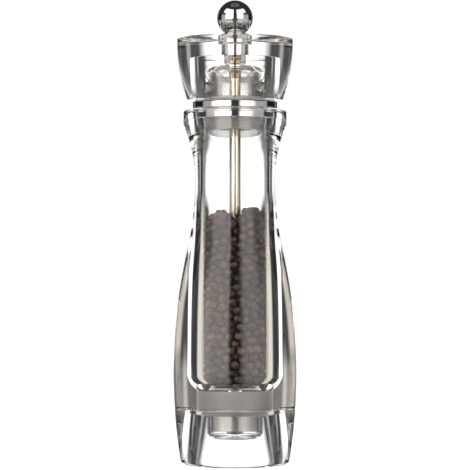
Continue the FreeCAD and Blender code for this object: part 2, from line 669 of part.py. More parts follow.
def grinder_small_parts():
    """Thrust washer, spring, and the washer and nut that hold the rotating burr on the shaft."""
    turned("thrust_washer", tube_corners(
        "shaft_r + running_gap", "washer_r", "burr_top_z + running_gap", "burr_top_z + running_gap + washer_z"))
    foot = "burr_top_z + running_gap + washer_z + fit_gap + spring_wire_r"
    coil = doc.addObject("Part::Helix", "spring_line")
    coil.setExpression("Radius", bound("spring_r"))
    rise = f"bridge_z - spring_wire_r - fit_gap - ({foot})"
    coil.setExpression("Height", bound(rise))
    coil.setExpression("Pitch", bound(f"({rise}) / spring_turns"))
    wire = doc.addObject("Part::RegularPolygon", "spring_wire")
    wire.setExpression("Polygon", bound("spring_facets"))
    wire.setExpression("Circumradius", bound("spring_wire_r"))
    wire.Placement = FreeCAD.Placement(
        FreeCAD.Vector(size("spring_r"), 0, 0), FreeCAD.Rotation(FreeCAD.Vector(1, 0, 0), 90))
    doc.recompute()
    spring = doc.addObject("Part::Sweep", "spring")
    spring.Label = "spring"
    spring.Sections = [wire]
    spring.Spine = (coil, ["Edge1"])
    spring.Solid = True
    spring.Frenet = True
    spring.setExpression(".Placement.Base.z", bound(foot))
    nodes.append(spring)
    turned("burr_washer", tube_corners("stud_r", "plain_washer_r", "burr_low_z - plain_washer_z", "burr_low_z"))
    prism = doc.addObject("Part::Prism", "nut_prism")
    prism.Polygon = 6
    prism.setExpression("Circumradius", bound("nut_flats / sqrt(3)"))
    prism.setExpression("Height", bound("nut_z"))
    thread = doc.addObject("Part::Cylinder", "nut_thread")
    thread.setExpression("Radius", bound("stud_r"))
    thread.setExpression("Height", bound("nut_z"))
    nut = doc.addObject("Part::Cut", "burr_nut")
    nut.Label = "burr_nut"
    nut.Base = prism
    nut.Tool = thread
    nut.setExpression(".Placement.Base.z", bound("burr_low_z - plain_washer_z - nut_z"))
    nodes.append(nut)


def outlet_collar():
    """Clear collar round the outlet, its bottom corner turned in."""
    inner = "outlet_r - outlet_wall"
    turned("outlet_collar", [
        ("outlet_r - outlet_lip", "outlet_low_z", "outlet_lip", 1),
        ("outlet_r", "outlet_low_z + outlet_lip"),
        ("outlet_r", "flange_z"),
        (inner, "flange_z"),
        (inner, "outlet_low_z + outlet_lip", "outlet_lip - outlet_wall", -1),
        ("outlet_r - outlet_lip", "outlet_low_z + outlet_wall"),
    ])


def pepper_fill():
    """The peppercorns, as one plain solid round the shaft."""
    inner = "shaft_r + pepper_gap"
    turned("pepper_fill", [
        (inner, "pepper_low_z"),
        ("pepper_foot_r", "pepper_low_z"),
        ("pepper_r", "pepper_step_z"),
        ("pepper_r", "pepper_top_z"),
        (inner, "pepper_top_z"),
    ])


def check_and_write():
    """Stop on any failed object, then write one file for each sub-part."""
    doc.recompute()
    for item in doc.Objects:
        if any(state in ("Invalid", "Error") for state in item.State):
            raise RuntimeError(f"{item.Label} is {item.State}")
    for node in nodes:
        shape = node.Shape
        if shape.isNull() or not shape.isValid() or not shape.Solids:
            raise RuntimeError(f"{node.Label} has no valid solid")
    os.makedirs(OUT_DIR, exist_ok=True)
    for node in nodes:
        node.Shape.exportStep(os.path.join(OUT_DIR, node.Label + ".step"))
        box = node.Shape.optimalBoundingBox(False, False)
        print(f"{node.Label:16s} z {box.ZMin:7.2f} {box.ZMax:7.2f}  r {box.XMax:6.2f}"
              f"  volume {node.Shape.Volume:9.1f}  solids {len(node.Shape.Solids)}")


clear_body()
foot()
neck_ring()
head()
head_insert()
neck_sleeve()
head_small_parts()
knob()
shaft()
grinder_housing()
burrs()
grinder_small_parts()
outlet_collar()
pepper_fill()
check_and_write()
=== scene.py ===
import json
import math
import bmesh
import bpy
import numpy as np
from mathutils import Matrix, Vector, noise

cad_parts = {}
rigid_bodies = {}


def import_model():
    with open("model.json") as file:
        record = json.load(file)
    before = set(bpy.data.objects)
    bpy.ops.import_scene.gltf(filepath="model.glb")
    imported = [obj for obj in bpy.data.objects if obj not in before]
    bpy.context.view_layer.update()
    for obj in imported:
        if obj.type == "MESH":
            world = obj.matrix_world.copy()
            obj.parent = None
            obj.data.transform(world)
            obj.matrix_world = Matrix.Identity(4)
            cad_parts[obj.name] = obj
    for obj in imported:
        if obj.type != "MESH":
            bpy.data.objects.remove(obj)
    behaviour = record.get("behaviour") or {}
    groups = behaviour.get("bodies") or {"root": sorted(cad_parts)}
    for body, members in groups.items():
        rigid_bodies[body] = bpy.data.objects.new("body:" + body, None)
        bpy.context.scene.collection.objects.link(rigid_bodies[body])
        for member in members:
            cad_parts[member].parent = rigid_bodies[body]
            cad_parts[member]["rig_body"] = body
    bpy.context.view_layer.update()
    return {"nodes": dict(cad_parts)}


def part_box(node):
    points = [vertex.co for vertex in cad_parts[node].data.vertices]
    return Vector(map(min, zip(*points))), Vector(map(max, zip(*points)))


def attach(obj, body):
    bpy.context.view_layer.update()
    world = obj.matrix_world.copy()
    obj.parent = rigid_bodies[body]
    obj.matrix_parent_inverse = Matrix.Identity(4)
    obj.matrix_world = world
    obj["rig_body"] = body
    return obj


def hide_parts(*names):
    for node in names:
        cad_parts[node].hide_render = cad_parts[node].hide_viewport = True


# A clear acrylic pepper mill.  Metres, +Z up, the viewer on the -Y side.
# Outlines are (radius, height) corners in millimetres, turned about Z.

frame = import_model()

MM = 0.001
# points round a turned piece
SEGMENTS = 192
# radius of a corner that has none of its own, and the spacing of the points that hold a flat up to it
EDGE = 0.12
SUPPORT = 0.15
# gap left where two pieces meet face to face
FIT = 0.03
SEED = 20
CAMERA_AWAY = 1.190
CAMERA_HEIGHT = 0.1134
CAMERA_LENS = 183.6
STAGE_REACH = 9.0
FLOOR_DROP = 0.0002


def low(node):
    """Lowest height of a CAD node, in millimetres."""
    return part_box(node)[0].z / MM


def high(node):
    """Highest point of a CAD node, in millimetres."""
    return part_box(node)[1].z / MM


def wide(node):
    """Radius of a CAD node, in millimetres."""
    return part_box(node)[1].x / MM


# the clear body: a long convex side, a waist, and a flare up to the rim
BULGE_R = wide("body")
BULGE_Z = 46.0
BULGE_ARC = 268.0
WAIST_R = 20.1
WAIST_Z = 140.0
FLARE_ARC = 72.7
RIM_R = 25.8
CHAMBER_R = 16.1
CHAMBER_FLOOR = 44.0
FUNNEL_ARC = 10.0
SOCKET_R = 12.7
SOCKET_TOP = 37.0
NECK_BORE_R = 16.4
PARTING = low("body")
RIM_TOP = high("body")
REACH_R = BULGE_ARC + WAIST_R - BULGE_R
WAIST_ARC = ((WAIST_Z - BULGE_Z) ** 2 + REACH_R ** 2 - BULGE_ARC ** 2) / (2 * (BULGE_ARC - REACH_R))
TURN_Z = BULGE_Z + (WAIST_Z - BULGE_Z) * BULGE_ARC / (BULGE_ARC + WAIST_ARC)
RIM_LOW = WAIST_Z + math.sqrt(FLARE_ARC ** 2 - (WAIST_R + FLARE_ARC - RIM_R) ** 2)
SHAFT_R = wide("drive_shaft")


# ---------------------------------------------------------------- camera, light, stage

def place_camera():
    """Level, at the height of the middle of the mill, far away and long."""
    camera = bpy.data.objects.new("camera", bpy.data.cameras.new("camera"))
    bpy.context.scene.collection.objects.link(camera)
    camera.location = (0, -CAMERA_AWAY, CAMERA_HEIGHT)
    camera.rotation_euler = (math.pi / 2, 0, 0)
    camera.data.lens = CAMERA_LENS
    camera.data.sensor_width = 36
    camera.data.clip_end = 50
    bpy.context.scene.camera = camera


def join(tree, source, target):
    tree.links.new(source, target)


def math_node(tree, operation, first, second=None):
    node = tree.nodes.new("ShaderNodeMath")
    node.operation = operation
    for socket, value in zip(node.inputs, (first, second)):
        if value is None:
            continue
        if isinstance(value, (int, float)):
            socket.default_value = value
        else:
            join(tree, value, socket)
    return node.outputs[0]


def ramp(tree, source, stops):
    """A colour ramp.  A stop is (position, grey) or (position, colour)."""
    node = tree.nodes.new("ShaderNodeValToRGB")
    elements = node.color_ramp.elements
    for index, (position, colour) in enumerate(stops):
        element = elements[index] if index < 2 else elements.new(position)
        element.position = position
        rgb = (colour,) * 3 if isinstance(colour, (int, float)) else colour
        element.color = (*rgb, 1)
    join(tree, source, node.inputs[0])
    return node.outputs[0]


WHITE = (1.0, 1.0, 1.0)
CREAM = (1.0, 0.92, 0.80)
WARM = (1.0, 0.92, 0.86)
SOFTBOX = 3.6
SOFTBOX_RIGHT = 2.8
# what stands round the mill: (from, to, brightness, tint), in degrees from the direction behind it,
# to the viewer's right, so that 180 is the camera.  First at the height of the mill:
LEVEL_VIEW = [
    (-180, -171, 0.06, WHITE),
    (-166, -124, SOFTBOX, WARM),
    (-112, -88, 0.60, WHITE),
    (-82, -46, 0.02, WHITE),
    (-42, -39, 0.40, WHITE),
    (-36, -27, 0.02, WHITE),
    (-18, 18, 1.40, WHITE),
    (27, 36, 0.02, WHITE),
    (39, 42, 0.40, WHITE),
    (46, 82, 0.02, WHITE),
    (88, 120, 0.60, WHITE),
    (138, 160, SOFTBOX_RIGHT, WARM),
    (171, 180, 0.06, WHITE),
]
# then above it, where the backdrop is narrower,
UPPER_VIEW = [
    (-180, -171, 0.04, WHITE),
    (-166, -128, SOFTBOX, WARM),
    (-114, -30, 0.05, WARM),
    (-23, -20, 0.25, WHITE),
    (-15, 15, 1.20, WHITE),
    (20, 23, 0.25, WHITE),
    (30, 118, 0.05, WARM),
    (138, 160, SOFTBOX_RIGHT, WARM),
    (171, 180, 0.04, WHITE),
]
# above that only the front panels go on,
CROWN_VIEW = [
    (-180, -171, 0.04, WHITE),
    (-164, -104, SOFTBOX, WARM),
    (-92, 92, 0.04, WHITE),
    (112, 164, SOFTBOX_RIGHT, WARM),
    (171, 180, 0.04, WHITE),
]
# and below it lies the table
TABLE_VIEW = [
    (-180, -168, 0.12, WHITE),
    (-156, -118, 0.80, WHITE),
    (-108, -88, 0.70, WHITE),
    (-80, -76, 0.25, WHITE),
    (-69, -54, 0.75, CREAM),
    (-48, -17, 0.02, WHITE),
    (-12, 12, 1.40, WHITE),
    (17, 48, 0.02, WHITE),
    (54, 69, 0.75, CREAM),
    (76, 80, 0.25, WHITE),
    (88, 108, 0.70, WHITE),
    (118, 156, 0.80, WHITE),
    (168, 180, 0.12, WHITE),
]


def light_studio():
    """Panels round the mill at four heights, and a dark ceiling.  The world is the only light."""
    world = bpy.data.worlds.new("studio")
    bpy.context.scene.world = world
    world.use_nodes = True
    tree = world.node_tree
    background = tree.nodes["Background"]
    place = tree.nodes.new("ShaderNodeTexCoord")
    parts = tree.nodes.new("ShaderNodeSeparateXYZ")
    join(tree, place.outputs["Generated"], parts.inputs[0])
    angle = math_node(tree, "ARCTAN2", parts.outputs[0], parts.outputs[1])
    turn = math_node(tree, "ADD", math_node(tree, "DIVIDE", angle, math.tau), 0.5)
    rise = math_node(tree, "ARCSINE", parts.outputs[2])
    level = math_node(tree, "ADD", math_node(tree, "DIVIDE", rise, math.pi), 0.5)

    def at(degrees):
        return (degrees + 90) / 180

    def ring(panels):
        stops = []
        for start, end, brightness, tint in panels:
            colour = tuple(channel * brightness / SOFTBOX for channel in tint)
            stops.append(((start + 180) / 360, colour))
            stops.append(((end + 180) / 360, colour))
        return ramp(tree, turn, stops)

    def blend(mask, first, second):
        node = tree.nodes.new("ShaderNodeMixRGB")
        join(tree, mask, node.inputs[0])
        join(tree, first, node.inputs[1])
        join(tree, second, node.inputs[2])
        return node.outputs[0]

    over_table = ramp(tree, level, [(at(-7), 0.0), (at(-3), 1.0)])
    above = ramp(tree, level, [(at(15), 0.0), (at(20), 1.0)])
    crown = ramp(tree, level, [(at(24), 0.0), (at(32), 1.0)])
    ceiling = ramp(tree, level, [(at(44), 0.0), (at(54), 1.0)])
    ceiling_tone = ramp(tree, level, [
        (at(54), 0.04 / SOFTBOX), (at(68), 0.04 / SOFTBOX), (at(74), 0.20 / SOFTBOX), (at(90), 0.12 / SOFTBOX)])
    view = blend(over_table, ring(TABLE_VIEW), ring(LEVEL_VIEW))
    view = blend(above, view, ring(UPPER_VIEW))
    view = blend(crown, view, ring(CROWN_VIEW))
    view = blend(ceiling, view, ceiling_tone)
    join(tree, view, background.inputs["Color"])
    background.inputs["Strength"].default_value = SOFTBOX


def glow_material(name, albedo, glow):
    """Plain paint with some light of its own, so the stage stays pale."""
    material = bpy.data.materials.new(name)
    material.use_nodes = True
    shader = material.node_tree.nodes["Principled BSDF"]
    shader.inputs["Base Color"].default_value = (albedo, albedo, albedo, 1)
    shader.inputs["Roughness"].default_value = 0.9
    shader.inputs["Specular IOR Level"].default_value = 0.0
    shader.inputs["Emission Color"].default_value = (1, 1, 1, 1)
    shader.inputs["Emission Strength"].default_value = glow
    return material


def build_stage():
    """A pale floor and a pale dome round it.  Glass and chrome see the studio panels past them."""
    bpy.ops.mesh.primitive_circle_add(
        vertices=96, radius=STAGE_REACH, fill_type="NGON", location=(0, 0, -FLOOR_DROP))
    floor = bpy.context.object
    floor.name = "floor"
    floor.data.materials.append(glow_material("floor_paint", 0.5, 0.88))
    bpy.ops.mesh.primitive_uv_sphere_add(segments=96, ring_count=48, radius=STAGE_REACH)
    dome = bpy.context.object
    dome.name = "backdrop"
    dome.data.materials.append(glow_material("backdrop_paint", 0.0, 1.02))
    for thing in (floor, dome):
        thing.visible_glossy = False
        thing.visible_transmission = False
    dome.visible_diffuse = False
    dome.visible_shadow = False
    dome.visible_volume_scatter = False


# ---------------------------------------------------------------- materials

def new_material(name, **values):
    """A Principled material with the given socket values, its node tree and its shader."""
    material = bpy.data.materials.new(name)
    material.use_nodes = True
    shader = material.node_tree.nodes["Principled BSDF"]
    for label, value in values.items():
        shader.inputs[label.replace("_", " ")].default_value = value
    return material, material.node_tree, shader


def grain(tree, scale, detail=4.0, stretch=(1, 1, 1)):
    """Noise in object space.  Scale is in features per millimetre."""
    place = tree.nodes.new("ShaderNodeTexCoord")
    mapping = tree.nodes.new("ShaderNodeMapping")
    mapping.inputs["Scale"].default_value = stretch
    join(tree, place.outputs["Object"], mapping.inputs[0])
    texture = tree.nodes.new("ShaderNodeTexNoise")
    texture.inputs["Scale"].default_value = scale / MM
    texture.inputs["Detail"].default_value = detail
    join(tree, mapping.outputs[0], texture.inputs["Vector"])
    return texture.outputs["Fac"]


def turned_lines(tree, per_mm):
    """Fine lines round the axis, as a lathe or a mould leaves them."""
    place = tree.nodes.new("ShaderNodeTexCoord")
    parts = tree.nodes.new("ShaderNodeSeparateXYZ")
    join(tree, place.outputs["Object"], parts.inputs[0])
    phase = math_node(tree, "MULTIPLY", parts.outputs[2], per_mm * math.tau / MM)
    wave = math_node(tree, "SINE", phase)
    return math_node(tree, "ADD", math_node(tree, "MULTIPLY", wave, 0.5), 0.5)


def bump(tree, shader, height, depth_mm, strength=1.0):
    node = tree.nodes.new("ShaderNodeBump")
    node.inputs["Distance"].default_value = depth_mm * MM
    node.inputs["Strength"].default_value = strength
    join(tree, height, node.inputs["Height"])
    join(tree, node.outputs[0], shader.inputs["Normal"])


def acrylic_material():
    """Polished clear acrylic with faint handling marks."""
    material, tree, shader = new_material("acrylic", Transmission_Weight=1.0, IOR=1.49)
    tint = ramp(tree, grain(tree, 0.05), [(0.3, (0.998, 0.998, 0.998)), (0.7, (0.985, 0.988, 0.986))])
    join(tree, tint, shader.inputs["Base Color"])
    smears = ramp(tree, grain(tree, 0.12, 6.0), [(0.52, 0.0), (0.75, 0.02)])
    join(tree, smears, shader.inputs["Roughness"])
    bump(tree, shader, grain(tree, 0.9, 3.0, (1, 1, 0.3)), 0.002, 0.3)
    return material


def clear_insert_material():
    """Moulded clear plastic, a little less clean than the acrylic."""
    material, tree, shader = new_material("clear_insert", Transmission_Weight=1.0, IOR=1.47)
    tint = ramp(tree, grain(tree, 0.1), [(0.3, (0.93, 0.93, 0.92)), (0.7, (0.87, 0.87, 0.86))])
    join(tree, tint, shader.inputs["Base Color"])
    join(tree, ramp(tree, grain(tree, 0.3), [(0.4, 0.01), (0.8, 0.06)]), shader.inputs["Roughness"])
    bump(tree, shader, turned_lines(tree, 0.35), 0.01, 0.5)
    return material


def grey_sleeve_material():
    """Milky grey plastic that lets some light through."""
    material, tree, shader = new_material("grey_sleeve", Transmission_Weight=0.75, IOR=1.45)
    tint = ramp(tree, grain(tree, 0.15), [(0.3, (0.80, 0.81, 0.78)), (0.7, (0.70, 0.71, 0.69))])
    join(tree, tint, shader.inputs["Base Color"])
    join(tree, ramp(tree, grain(tree, 0.6), [(0.3, 0.10), (0.7, 0.16)]), shader.inputs["Roughness"])
    bump(tree, shader, turned_lines(tree, 1.2), 0.006, 0.3)
    return material


def chrome_material():
    """Polished chrome plate with faint polishing marks."""
    material, tree, shader = new_material("chrome", Metallic=1.0)
    tone = ramp(tree, grain(tree, 0.2), [(0.3, (0.62, 0.62, 0.63)), (0.7, (0.54, 0.54, 0.55))])
    join(tree, tone, shader.inputs["Base Color"])
    join(tree, ramp(tree, grain(tree, 0.5, 6.0), [(0.35, 0.03), (0.75, 0.09)]), shader.inputs["Roughness"])
    bump(tree, shader, grain(tree, 0.4, 3.0), 0.004, 0.3)
    return material


def steel_material():
    """Bright drawn steel, with lines along its length."""
    material, tree, shader = new_material("steel", Metallic=1.0)
    lines = grain(tree, 3.0, 5.0, (1, 1, 0.02))
    tone = ramp(tree, lines, [(0.3, (0.74, 0.68, 0.56)), (0.7, (0.56, 0.51, 0.41))])
    join(tree, tone, shader.inputs["Base Color"])
    join(tree, ramp(tree, lines, [(0.3, 0.14), (0.7, 0.26)]), shader.inputs["Roughness"])
    bump(tree, shader, lines, 0.01, 0.5)
    return material


def bright_steel_material():
    """Turned steel of the small fittings."""
    material, tree, shader = new_material("bright_steel", Metallic=1.0)
    tone = ramp(tree, grain(tree, 1.2), [(0.3, (0.78, 0.78, 0.77)), (0.7, (0.64, 0.64, 0.63))])
    join(tree, tone, shader.inputs["Base Color"])
    join(tree, ramp(tree, turned_lines(tree, 2.5), [(0.2, 0.12), (0.8, 0.24)]), shader.inputs["Roughness"])
    bump(tree, shader, turned_lines(tree, 2.5), 0.008, 0.5)
    return material


def burr_steel_material():
    """Machined, case-hardened steel with turning lines."""
    material, tree, shader = new_material("burr_steel", Metallic=0.35)
    lines = turned_lines(tree, 1.0)
    tone = ramp(tree, grain(tree, 0.8), [(0.3, (0.74, 0.74, 0.72)), (0.7, (0.58, 0.58, 0.57))])
    join(tree, tone, shader.inputs["Base Color"])
    join(tree, ramp(tree, lines, [(0.2, 0.34), (0.8, 0.48)]), shader.inputs["Roughness"])
    bump(tree, shader, lines, 0.06, 0.8)
    return material


def brass_material():
    """Turned brass, warm and slightly dull."""
    material, tree, shader = new_material("brass", Metallic=1.0)
    tone = ramp(tree, grain(tree, 0.9), [(0.3, (0.52, 0.41, 0.26)), (0.7, (0.36, 0.27, 0.16))])
    join(tree, tone, shader.inputs["Base Color"])
    join(tree, ramp(tree, turned_lines(tree, 2.0), [(0.2, 0.22), (0.8, 0.36)]), shader.inputs["Roughness"])
    bump(tree, shader, turned_lines(tree, 2.0), 0.01, 0.5)
    return material


def grey_plastic_material():
    """Satin grey plastic, ribbed with fine mould lines."""
    material, tree, shader = new_material("grey_plastic", IOR=1.5)
    lines = turned_lines(tree, 1.0)
    tone = ramp(tree, lines, [(0.0, (0.32, 0.315, 0.305)), (1.0, (0.43, 0.425, 0.415))])
    join(tree, tone, shader.inputs["Base Color"])
    join(tree, ramp(tree, grain(tree, 2.0), [(0.3, 0.38), (0.7, 0.5)]), shader.inputs["Roughness"])
    bump(tree, shader, lines, 0.02, 0.5)
    return material


def nylon_material():
    """Natural nylon, off-white and a little translucent."""
    material, tree, shader = new_material("nylon", Subsurface_Weight=0.15)
    tone = ramp(tree, grain(tree, 1.0), [(0.3, (0.86, 0.85, 0.81)), (0.7, (0.76, 0.75, 0.71))])
    join(tree, tone, shader.inputs["Base Color"])
    join(tree, ramp(tree, grain(tree, 3.0), [(0.3, 0.4), (0.7, 0.55)]), shader.inputs["Roughness"])
    bump(tree, shader, grain(tree, 4.0), 0.01, 0.4)
    return material


def peppercorn_material():
    """Dry, wrinkled skin.  Each corn has its own tone."""
    material, tree, shader = new_material("peppercorn")
    tone = tree.nodes.new("ShaderNodeAttribute")
    tone.attribute_name = "tone"
    spots = grain(tree, 1.6, 6.0)
    value = math_node(tree, "ADD", math_node(tree, "MULTIPLY", tone.outputs["Fac"], 0.62),
                      math_node(tree, "MULTIPLY", spots, 0.38))
    skin = ramp(tree, value, [
        (0.18, (0.006, 0.003, 0.002)), (0.42, (0.030, 0.014, 0.008)),
        (0.66, (0.080, 0.038, 0.020)), (0.86, (0.17, 0.095, 0.050))])
    join(tree, skin, shader.inputs["Base Color"])
    join(tree, ramp(tree, spots, [(0.3, 0.32), (0.7, 0.55)]), shader.inputs["Roughness"])
    bump(tree, shader, grain(tree, 2.6, 5.0), 0.12, 0.6)
    return material


# ---------------------------------------------------------------- outlines

def arc_points(start, end, radius, side, count):
    """Points between start and end on an arc.  Side +1 puts its centre to the left of the way."""
    first, last = Vector(start), Vector(end)
    chord = last - first
    rise = math.sqrt(max(radius ** 2 - (chord.length / 2) ** 2, 0.0))
    normal = Vector((-chord.y, chord.x)).normalized()
    centre = (first + last) / 2 + normal * rise * side
    a = math.atan2(first.y - centre.y, first.x - centre.x)
    b = math.atan2(last.y - centre.y, last.x - centre.x)
    if side > 0 and b < a:
        b += math.tau
    if side < 0 and b > a:
        b -= math.tau
    angles = [a + (b - a) * step / count for step in range(1, count)]
    return [(centre.x + radius * math.cos(t), centre.y + radius * math.sin(t), 0) for t in angles]


def rounded(corners):
    """The outline with each corner rounded: by EDGE, by its third number, or not at all if that is 0."""
    points = []
    for index, corner in enumerate(corners):
        radius = corner[2] if len(corner) > 2 else EDGE
        here = Vector(corner[:2])
        if radius == 0:
            points.append((here.x, here.y))
            continue
        before = Vector(corners[index - 1][:2]) - here
        after = Vector(corners[(index + 1) % len(corners)][:2]) - here
        room = [before.length, after.length]
        before.normalize()
        after.normalize()
        half = before.angle(after) / 2
        reach = radius / math.tan(half)
        centre = here + (before + after).normalized() * radius / math.sin(half)
        start, end = here + before * reach, here + after * reach
        if room[0] > 3 * (reach + SUPPORT):
            point = start + before * SUPPORT
            points.append((point.x, point.y))
        steps = 8 if radius > 0.5 else 4
        spread = (start - centre).angle(end - centre)
        for step in range(steps + 1):
            share = step / steps
            way = (start - centre) * math.sin((1 - share) * spread) + (end - centre) * math.sin(share * spread)
            point = centre + way / math.sin(spread)
            points.append((point.x, point.y))
        if room[1] > 3 * (reach + SUPPORT):
            point = end + after * SUPPORT
            points.append((point.x, point.y))
    return points


def mesh_object(name, verts, faces):
    """A smooth-shaded object with its normals outward."""
    mesh = bpy.data.meshes.new(name)
    mesh.from_pydata(verts, [], faces)
    editor = bmesh.new()
    editor.from_mesh(mesh)
    bmesh.ops.recalc_face_normals(editor, faces=editor.faces)
    editor.to_mesh(mesh)
    editor.free()
    mesh.polygons.foreach_set("use_smooth", [True] * len(mesh.polygons))
    thing = bpy.data.objects.new(name, mesh)
    bpy.context.scene.collection.objects.link(thing)
    return thing


def lathe(name, outline, shape=None):
    """A closed outline turned about Z.  Shape(radius, height, angle) may vary the radius."""
    verts = []
    rings = []
    for radius, height in outline:
        if radius < 1e-4:
            rings.append([len(verts)] * SEGMENTS)
            verts.append((0, 0, height * MM))
            continue
        rings.append(list(range(len(verts), len(verts) + SEGMENTS)))
        for step in range(SEGMENTS):
            angle = math.tau * step / SEGMENTS
            reach = shape(radius, height, angle) if shape else radius
            verts.append((reach * math.cos(angle) * MM, reach * math.sin(angle) * MM, height * MM))
    faces = []
    for index, ring in enumerate(rings):
        other = rings[(index + 1) % len(rings)]
        if ring[0] == ring[1] and other[0] == other[1]:
            continue
        for step in range(SEGMENTS):
            after = (step + 1) % SEGMENTS
            corners = [ring[step], ring[after], other[after], other[step]]
            faces.append(list(dict.fromkeys(corners)))
    return mesh_object(name, verts, faces)


def finish_piece(thing, node, material):
    """The piece takes the CAD node's place and moves with its body."""
    thing.data.materials.append(material)
    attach(thing, frame["nodes"][node]["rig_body"])
    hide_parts(node)
    return thing


# ---------------------------------------------------------------- clear pieces

def side_radius(height):
    """Radius of the mill's side at a height, in millimetres."""
    if height >= RIM_LOW:
        return RIM_R
    if height >= WAIST_Z:
        return WAIST_R + FLARE_ARC - math.sqrt(FLARE_ARC ** 2 - (height - WAIST_Z) ** 2)
    if height >= TURN_Z:
        return WAIST_R + WAIST_ARC - math.sqrt(WAIST_ARC ** 2 - (height - WAIST_Z) ** 2)
    return BULGE_R - BULGE_ARC + math.sqrt(BULGE_ARC ** 2 - (height - BULGE_Z) ** 2)


def side_points(start, end, count):
    return [(side_radius(z), z, 0) for z in np.linspace(start, end, count)]


def body_shell(clear, bonded):
    """The clear body.  The grinder is bonded into its socket, so the socket wall looks grey from outside."""
    funnel = arc_points((CHAMBER_R, CHAMBER_FLOOR), (SOCKET_R, SOCKET_TOP), FUNNEL_ARC, -1, 14)
    outline = rounded(
        [(SOCKET_R, PARTING), (side_radius(PARTING), PARTING, 0.3)]
        + side_points(PARTING + 1.5, RIM_LOW, 90)
        + [(RIM_R, RIM_TOP, 1.0), (NECK_BORE_R, RIM_TOP), (NECK_BORE_R, low("neck_ring")),
           (CHAMBER_R, low("neck_ring")), (CHAMBER_R, CHAMBER_FLOOR, 0)]
        + funnel + [(SOCKET_R, SOCKET_TOP)])
    shell = lathe("body_shell", outline)
    finish_piece(shell, "body", clear)
    shell.data.materials.append(bonded)
    for face in shell.data.polygons:
        middle = face.center / MM
        reach = math.hypot(middle.x, middle.y)
        if reach < SOCKET_R + 0.02 and middle.z < SOCKET_TOP - EDGE:
            face.material_index = 1


def foot_ring(clear):
    """The ring under the parting line, open round the outlet."""
    top = high("foot")
    recess_mouth = 20.1
    recess_roof = 16.6
    outline = rounded(
        [(recess_mouth, 0.0, 0.3), (side_radius(0), 0.0, 2.0)]
        + side_points(4, top - 1.5, 16)
        + [(side_radius(top), top, 0.3), (recess_roof, top)])
    finish_piece(lathe("foot_ring", outline), "foot", clear)


def head_shell(clear):
    """The flared head with its cavity and its stepped hole."""
    base, top = low("head"), high("head")
    base_r, widest, widest_z, arc = 23.8, wide("head"), 208.5, 79.0
    cavity_r, cavity_z = 15.3, 202.0
    seat_r, seat_z, bush_r = 5.8, 207.5, 4.7
    side = arc_points((base_r, base), (widest, widest_z), arc, 1, 24)
    outline = rounded(
        [(cavity_r, base), (base_r, base, 0.25)] + side[1:]
        + [(widest, widest_z, 0), (widest, top, 1.0), (seat_r, top, 0.2), (seat_r, seat_z),
           (bush_r, seat_z), (bush_r, cavity_z), (cavity_r, cavity_z, 0.3)])
    finish_piece(lathe("head_shell", outline), "head", clear)


def head_tube(clear):
    """The clear tube in the head, closed to a dome over the shaft collar."""
    base, top, outer = low("head_insert"), high("head_insert"), wide("head_insert")
    bore, eye = 10.7, 3.8
    roof, dome = 199.0, 4.0
    radius = ((bore - eye) ** 2 + dome ** 2) / (2 * dome)
    curve = arc_points((eye, roof), (bore, roof - dome), radius, -1, 14)
    outline = rounded(
        [(bore, base), (outer, base), (outer, top - FIT, 0.3), (eye, top - FIT), (eye, roof)]
        + curve + [(bore, roof - dome, 0)])
    finish_piece(lathe("head_tube", outline), "head_insert", clear)


def outlet_ring(clear):
    """The collar round the outlet, its lower corner turned in."""
    base, top, outer = low("outlet_collar"), high("outlet_collar") - FIT, wide("outlet_collar")
    lip, wall = 3.8, 1.4
    inner = outer - wall
    outside = arc_points((outer - lip, base), (outer, base + lip), lip, 1, 10)
    inside = arc_points((inner, base + lip), (outer - lip, base + wall), lip - wall, -1, 10)
    outline = rounded(
        [(outer - lip, base)] + outside + [(outer, base + lip, 0), (outer, top), (inner, top),
                                           (inner, base + lip, 0)]
        + inside + [(outer - lip, base + wall)])
    finish_piece(lathe("outlet_ring", outline), "outlet_collar", clear)


# ---------------------------------------------------------------- metal and plastic pieces

def neck_pieces(chrome, sleeve, nylon):
    """Neck ring, centring sleeve and glide washer."""
    base, top, outer = low("neck_ring"), high("neck_ring"), wide("neck_ring")
    bore, spigot, shoulder = 14.6, NECK_BORE_R - 0.05, 175.9
    ring = rounded([
        (bore, base + FIT), (spigot, base + FIT, 0.25), (spigot, shoulder), (outer, shoulder, 0.6),
        (outer, top, 0.6), (bore, top, 0.3)])
    finish_piece(lathe("neck_chrome", ring), "neck_ring", chrome)
    base, top, lip_r = low("neck_sleeve"), high("neck_sleeve") - FIT, wide("neck_sleeve")
    inner, outer, lip_z = 13.0, 14.52, 181.0
    tube = rounded([
        (inner, base, 0.3), (outer, base, 0.4), (outer, lip_z), (lip_r, lip_z), (lip_r, top), (inner, top)])
    finish_piece(lathe("sleeve_tube", tube), "neck_sleeve", sleeve)
    base, top, outer = low("glide_washer"), high("glide_washer"), wide("glide_washer")
    washer = rounded([(15.0, base), (outer, base), (outer, top), (15.0, top)])
    finish_piece(lathe("glide_disc", washer), "glide_washer", nylon)


def ball_knob(chrome):
    """The ball on its short neck, bored for the threaded bush."""
    base, top, ball_r = low("knob"), high("knob"), wide("knob")
    neck_r, bush_r, bush_top = 5.6, 3.3, high("knob_bush")
    middle = top - ball_r
    joint = middle - math.sqrt(ball_r ** 2 - neck_r ** 2)
    ball = arc_points((neck_r, joint), (0, top), ball_r, 1, 72)
    outline = rounded(
        [(bush_r, base), (neck_r, base, 0.3), (neck_r, joint, 0)] + ball
        + [(0, top, 0), (0, bush_top, 0), (bush_r, bush_top)])
    finish_piece(lathe("ball_knob", outline), "knob", chrome)


